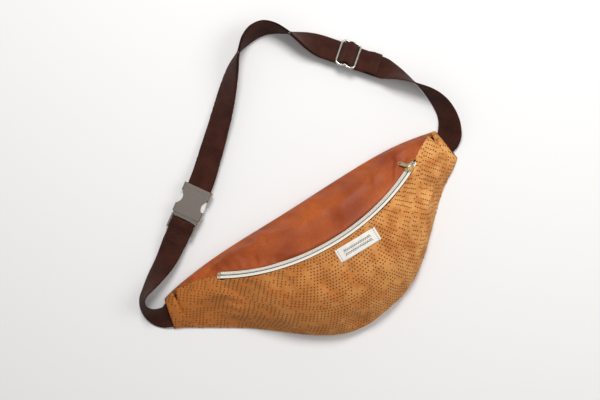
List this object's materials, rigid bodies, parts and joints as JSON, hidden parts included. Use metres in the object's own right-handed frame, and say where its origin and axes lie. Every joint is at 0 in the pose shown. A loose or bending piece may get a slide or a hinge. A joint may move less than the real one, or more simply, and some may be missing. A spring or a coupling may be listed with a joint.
{
  "type": "waist pack",
  "caption": "Half-moon waist pack with a curved zip, perforated suede front, smooth leather top and a webbing belt with a side-release buckle and slide adjuster, laid flat.",
  "frame": {"origin": "on the bag's flat back face, at the middle of the bag's length", "axes": "+X along the bag towards the zip slider's end, +Y towards the belt, +Z out of the bag's front"},
  "size_m": [0.3825, 0.3233, 0.0498],
  "materials": {
    "perforated_suede": "napped, perforated",
    "suede_back": "napped",
    "smooth_leather": "satin",
    "lining_cloth": "plain weave",
    "label_cloth": "woven",
    "zip_tape": "woven",
    "zip_coil": "satin",
    "zip_metal": "polished, pale gold plate",
    "webbing": "ribbed weave",
    "buckle_zinc": "antiqued cast",
    "claw_zinc": "polished cast",
    "spring_steel": "drawn wire",
    "adjuster_wire": "nickel plate"
  },
  "bodies": {
    "bag_and_belt": {"back_panel": "suede_back", "belt_lower_run": "webbing", "belt_right_run": "webbing", "belt_short_run": "webbing", "belt_slip_lower": "webbing", "belt_slip_right": "webbing", "belt_slip_upper": "webbing", "belt_socket_loop": "webbing", "belt_upper_run": "webbing", "buckle_bar": "buckle_zinc", "buckle_socket": "buckle_zinc", "front_panel": "perforated_suede", "lining_back": "lining_cloth", "lining_front": "lining_cloth", "top_panel": "smooth_leather", "woven_label": "label_cloth", "zip_bottom_stop": "zip_metal", "zip_coil_lower": "zip_coil", "zip_coil_upper": "zip_coil", "zip_tape_lower": "zip_tape", "zip_tape_upper": "zip_tape", "zip_top_stops": "zip_metal"},
    "zip_slider": {"zip_slider_body": "zip_metal"},
    "zip_pull": {"zip_pull_tab": "zip_metal"},
    "plug": {"buckle_plug": "buckle_zinc", "claw_pins": "spring_steel", "claw_spring": "spring_steel", "belt_plug_loop": "webbing"},
    "left_claw": {"claw_left": "claw_zinc"},
    "right_claw": {"claw_right": "claw_zinc"},
    "adjuster": {"adjuster_slide": "adjuster_wire", "belt_hump_upper": "webbing", "belt_hump_lower": "webbing", "belt_tail": "webbing"}
  },
  "joints": [
    {"name": "zip_slide", "type": "hinge", "parent": "bag_and_belt", "child": "zip_slider", "pos_m": [0.016, 0.1672, -0.0777], "axis": [0, 0.6101, 0.7923], "range_deg": [-64.5, 0]},
    {"name": "zip_pull_flip", "type": "hinge", "parent": "zip_slider", "child": "zip_pull", "pos_m": [0.12011, 0.03455, 0.0307], "axis": [0.8545, 0.4116, -0.317], "range_deg": [0, 150]},
    {"name": "buckle_release", "type": "slide", "parent": "bag_and_belt", "child": "plug", "axis": [-0.8241, -0.5664, 0], "range_m": [0, 0.024], "deforming": ["belt_short_run", "claw_left", "claw_right"]},
    {"name": "claw_left_press", "type": "hinge", "parent": "plug", "child": "left_claw", "pos_m": [-0.10103, 0.1166, 0.00672], "axis": [0.0984, -0.1431, -0.9848], "range_deg": [0, 9.5], "stiffness_Nm_per_rad": 0.6, "springref_deg": -8.59, "deforming": ["claw_spring"]},
    {"name": "claw_right_press", "type": "hinge", "parent": "plug", "child": "right_claw", "pos_m": [-0.09155, 0.1028, 0.00968], "axis": [-0.0984, 0.1431, 0.9848], "range_deg": [0, 9.5], "stiffness_Nm_per_rad": 0.6, "springref_deg": -8.59, "deforming": ["claw_spring"]},
    {"name": "adjuster_travel", "type": "slide", "parent": "bag_and_belt", "child": "adjuster", "axis": [0.6428, -0.766, 0], "range_m": [-0.012, 0.002], "deforming": ["belt_slip_upper", "belt_slip_lower", "belt_slip_right"]}
  ]
}
